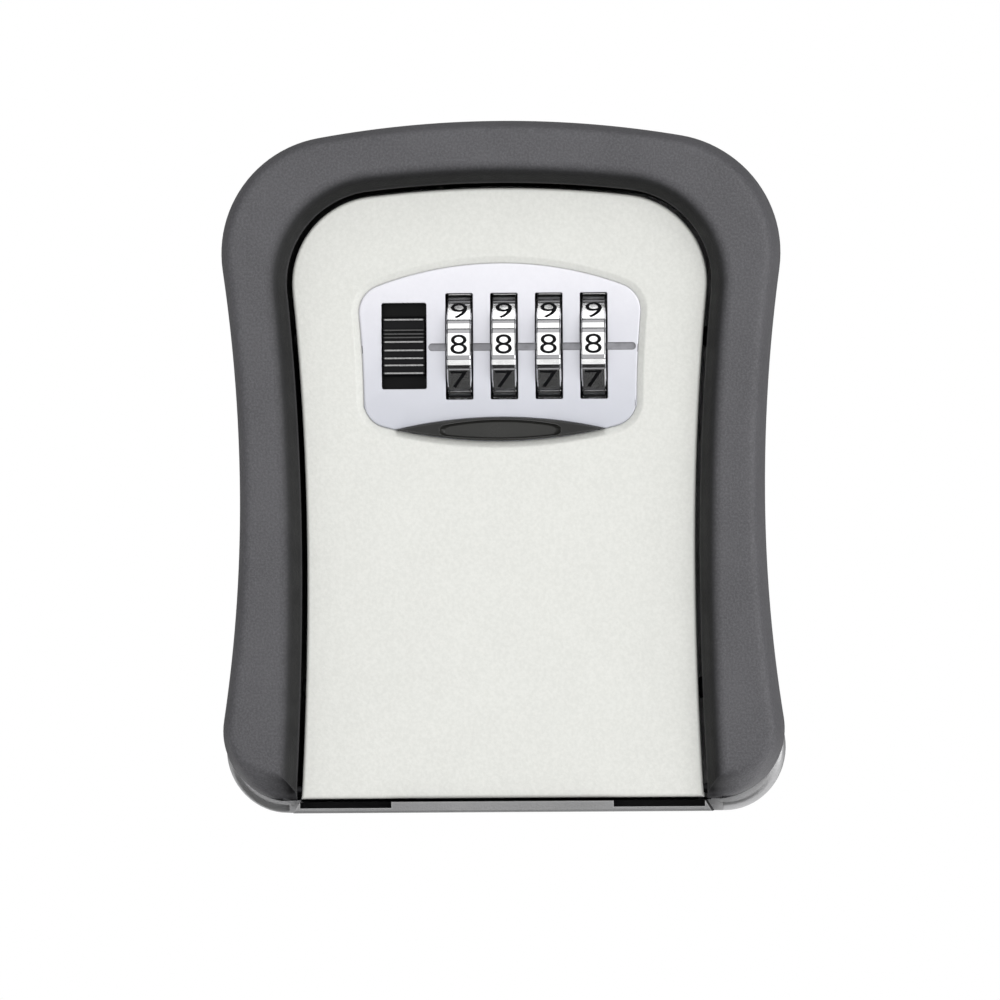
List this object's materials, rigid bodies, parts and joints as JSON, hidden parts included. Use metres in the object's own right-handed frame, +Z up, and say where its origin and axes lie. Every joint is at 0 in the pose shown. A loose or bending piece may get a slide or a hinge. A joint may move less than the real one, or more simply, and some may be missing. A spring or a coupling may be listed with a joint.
{
  "type": "key lock box",
  "caption": "Wall-mounted key safe with a grey arched surround, a white drop-down door, a silver panel with number wheels, a ribbed release slider and a finger pull.",
  "frame": {"origin": "centre of the case's flat back, where it lies against the wall", "axes": "+Z up, the door faces -Y, +Y points into the wall, +X to the right as seen from the front"},
  "size_m": [0.0962, 0.04, 0.1186],
  "materials": {
    "case_silver": "silver-painted die-cast zinc, satin",
    "surround_grey": "dark grey moulded plastic with a fine grain",
    "door_white": "off-white powder coat on die-cast zinc",
    "panel_silver": "fine metallic silver paint",
    "pull_dark": "dark grey, semi-gloss",
    "slider_black": "black, ribbed",
    "wheel_bright": "bright plated with printed figures",
    "sleeve_steel": "turned and blackened steel",
    "plate_steel": "plain pressed steel",
    "screw_steel": "plated steel",
    "spring_steel": "bright spring wire and strip",
    "housing_black": "black moulded plastic",
    "lever_grey": "grey moulded plastic"
  },
  "bodies": {
    "case": {"rear_case": "case_silver", "surround": "surround_grey", "surround_screw_1": "screw_steel", "surround_screw_2": "screw_steel", "surround_screw_3": "screw_steel", "surround_screw_4": "screw_steel", "strike_plate": "plate_steel", "strike_screw_left": "screw_steel", "strike_screw_right": "screw_steel", "hinge_pin_left": "screw_steel", "hinge_pin_right": "screw_steel"},
    "door": {"door_shell": "door_white", "dial_bezel": "panel_silver", "finger_pull": "pull_dark", "lock_housing": "housing_black", "housing_screw_left": "screw_steel", "housing_screw_right": "screw_steel", "back_cover": "housing_black", "cover_screw_1": "screw_steel", "cover_screw_2": "screw_steel", "cover_screw_3": "screw_steel", "cover_screw_4": "screw_steel", "detent_spring": "spring_steel", "latch_spring": "spring_steel"},
    "latch": {"open_slider": "slider_black", "latch_plate": "plate_steel"},
    "reset": {"reset_lever": "lever_grey"},
    "carriage": {"dial_shaft": "plate_steel", "reset_spring": "spring_steel"},
    "dial_1": {"number_wheel_1": "wheel_bright"},
    "dial_2": {"number_wheel_2": "wheel_bright"},
    "dial_3": {"number_wheel_3": "wheel_bright"},
    "dial_4": {"number_wheel_4": "wheel_bright"},
    "sleeve_1": {"lock_sleeve_1": "sleeve_steel"},
    "sleeve_2": {"lock_sleeve_2": "sleeve_steel"},
    "sleeve_3": {"lock_sleeve_3": "sleeve_steel"},
    "sleeve_4": {"lock_sleeve_4": "sleeve_steel"}
  },
  "joints": [
    {"name": "door_hinge", "type": "hinge", "parent": "case", "child": "door", "pos_m": [0, -0.0335, -0.0553], "axis": [1, 0, 0], "range_deg": [0, 95]},
    {"name": "latch_slide", "type": "slide", "parent": "door", "child": "latch", "axis": [0, 0, -1], "range_m": [0, 0.002], "stiffness_N_per_m": 400, "springref_m": -0.003, "deforming": ["latch_spring"]},
    {"name": "reset_slide", "type": "slide", "parent": "door", "child": "reset", "axis": [1, 0, 0], "range_m": [0, 0.0019], "stiffness_N_per_m": 200, "springref_m": -0.002},
    {"name": "carriage_slide", "type": "slide", "parent": "door", "child": "carriage", "axis": [1, 0, 0], "range_m": [0, 0.0019]},
    {"name": "dial_1", "type": "hinge", "parent": "door", "child": "dial_1", "pos_m": [-0.00695, -0.0269, 0.0203], "axis": [1, 0, 0], "continuous": true},
    {"name": "dial_2", "type": "hinge", "parent": "door", "child": "dial_2", "pos_m": [0.00072, -0.0269, 0.0203], "axis": [1, 0, 0], "continuous": true},
    {"name": "dial_3", "type": "hinge", "parent": "door", "child": "dial_3", "pos_m": [0.00839, -0.0269, 0.0203], "axis": [1, 0, 0], "continuous": true},
    {"name": "dial_4", "type": "hinge", "parent": "door", "child": "dial_4", "pos_m": [0.01606, -0.0269, 0.0203], "axis": [1, 0, 0], "continuous": true},
    {"name": "sleeve_1", "type": "hinge", "parent": "carriage", "child": "sleeve_1", "pos_m": [-0.00695, -0.0269, 0.0203], "axis": [1, 0, 0], "continuous": true},
    {"name": "sleeve_2", "type": "hinge", "parent": "carriage", "child": "sleeve_2", "pos_m": [0.00072, -0.0269, 0.0203], "axis": [1, 0, 0], "continuous": true},
    {"name": "sleeve_3", "type": "hinge", "parent": "carriage", "child": "sleeve_3", "pos_m": [0.00839, -0.0269, 0.0203], "axis": [1, 0, 0], "continuous": true},
    {"name": "sleeve_4", "type": "hinge", "parent": "carriage", "child": "sleeve_4", "pos_m": [0.01606, -0.0269, 0.0203], "axis": [1, 0, 0], "continuous": true}
  ],
  "couplings": [
    {"joint": "carriage_slide", "follows": "reset_slide", "ratio": 1},
    {"joint": "sleeve_1", "follows": "dial_1", "ratio": 1},
    {"joint": "sleeve_2", "follows": "dial_2", "ratio": 1},
    {"joint": "sleeve_3", "follows": "dial_3", "ratio": 1},
    {"joint": "sleeve_4", "follows": "dial_4", "ratio": 1}
  ]
}
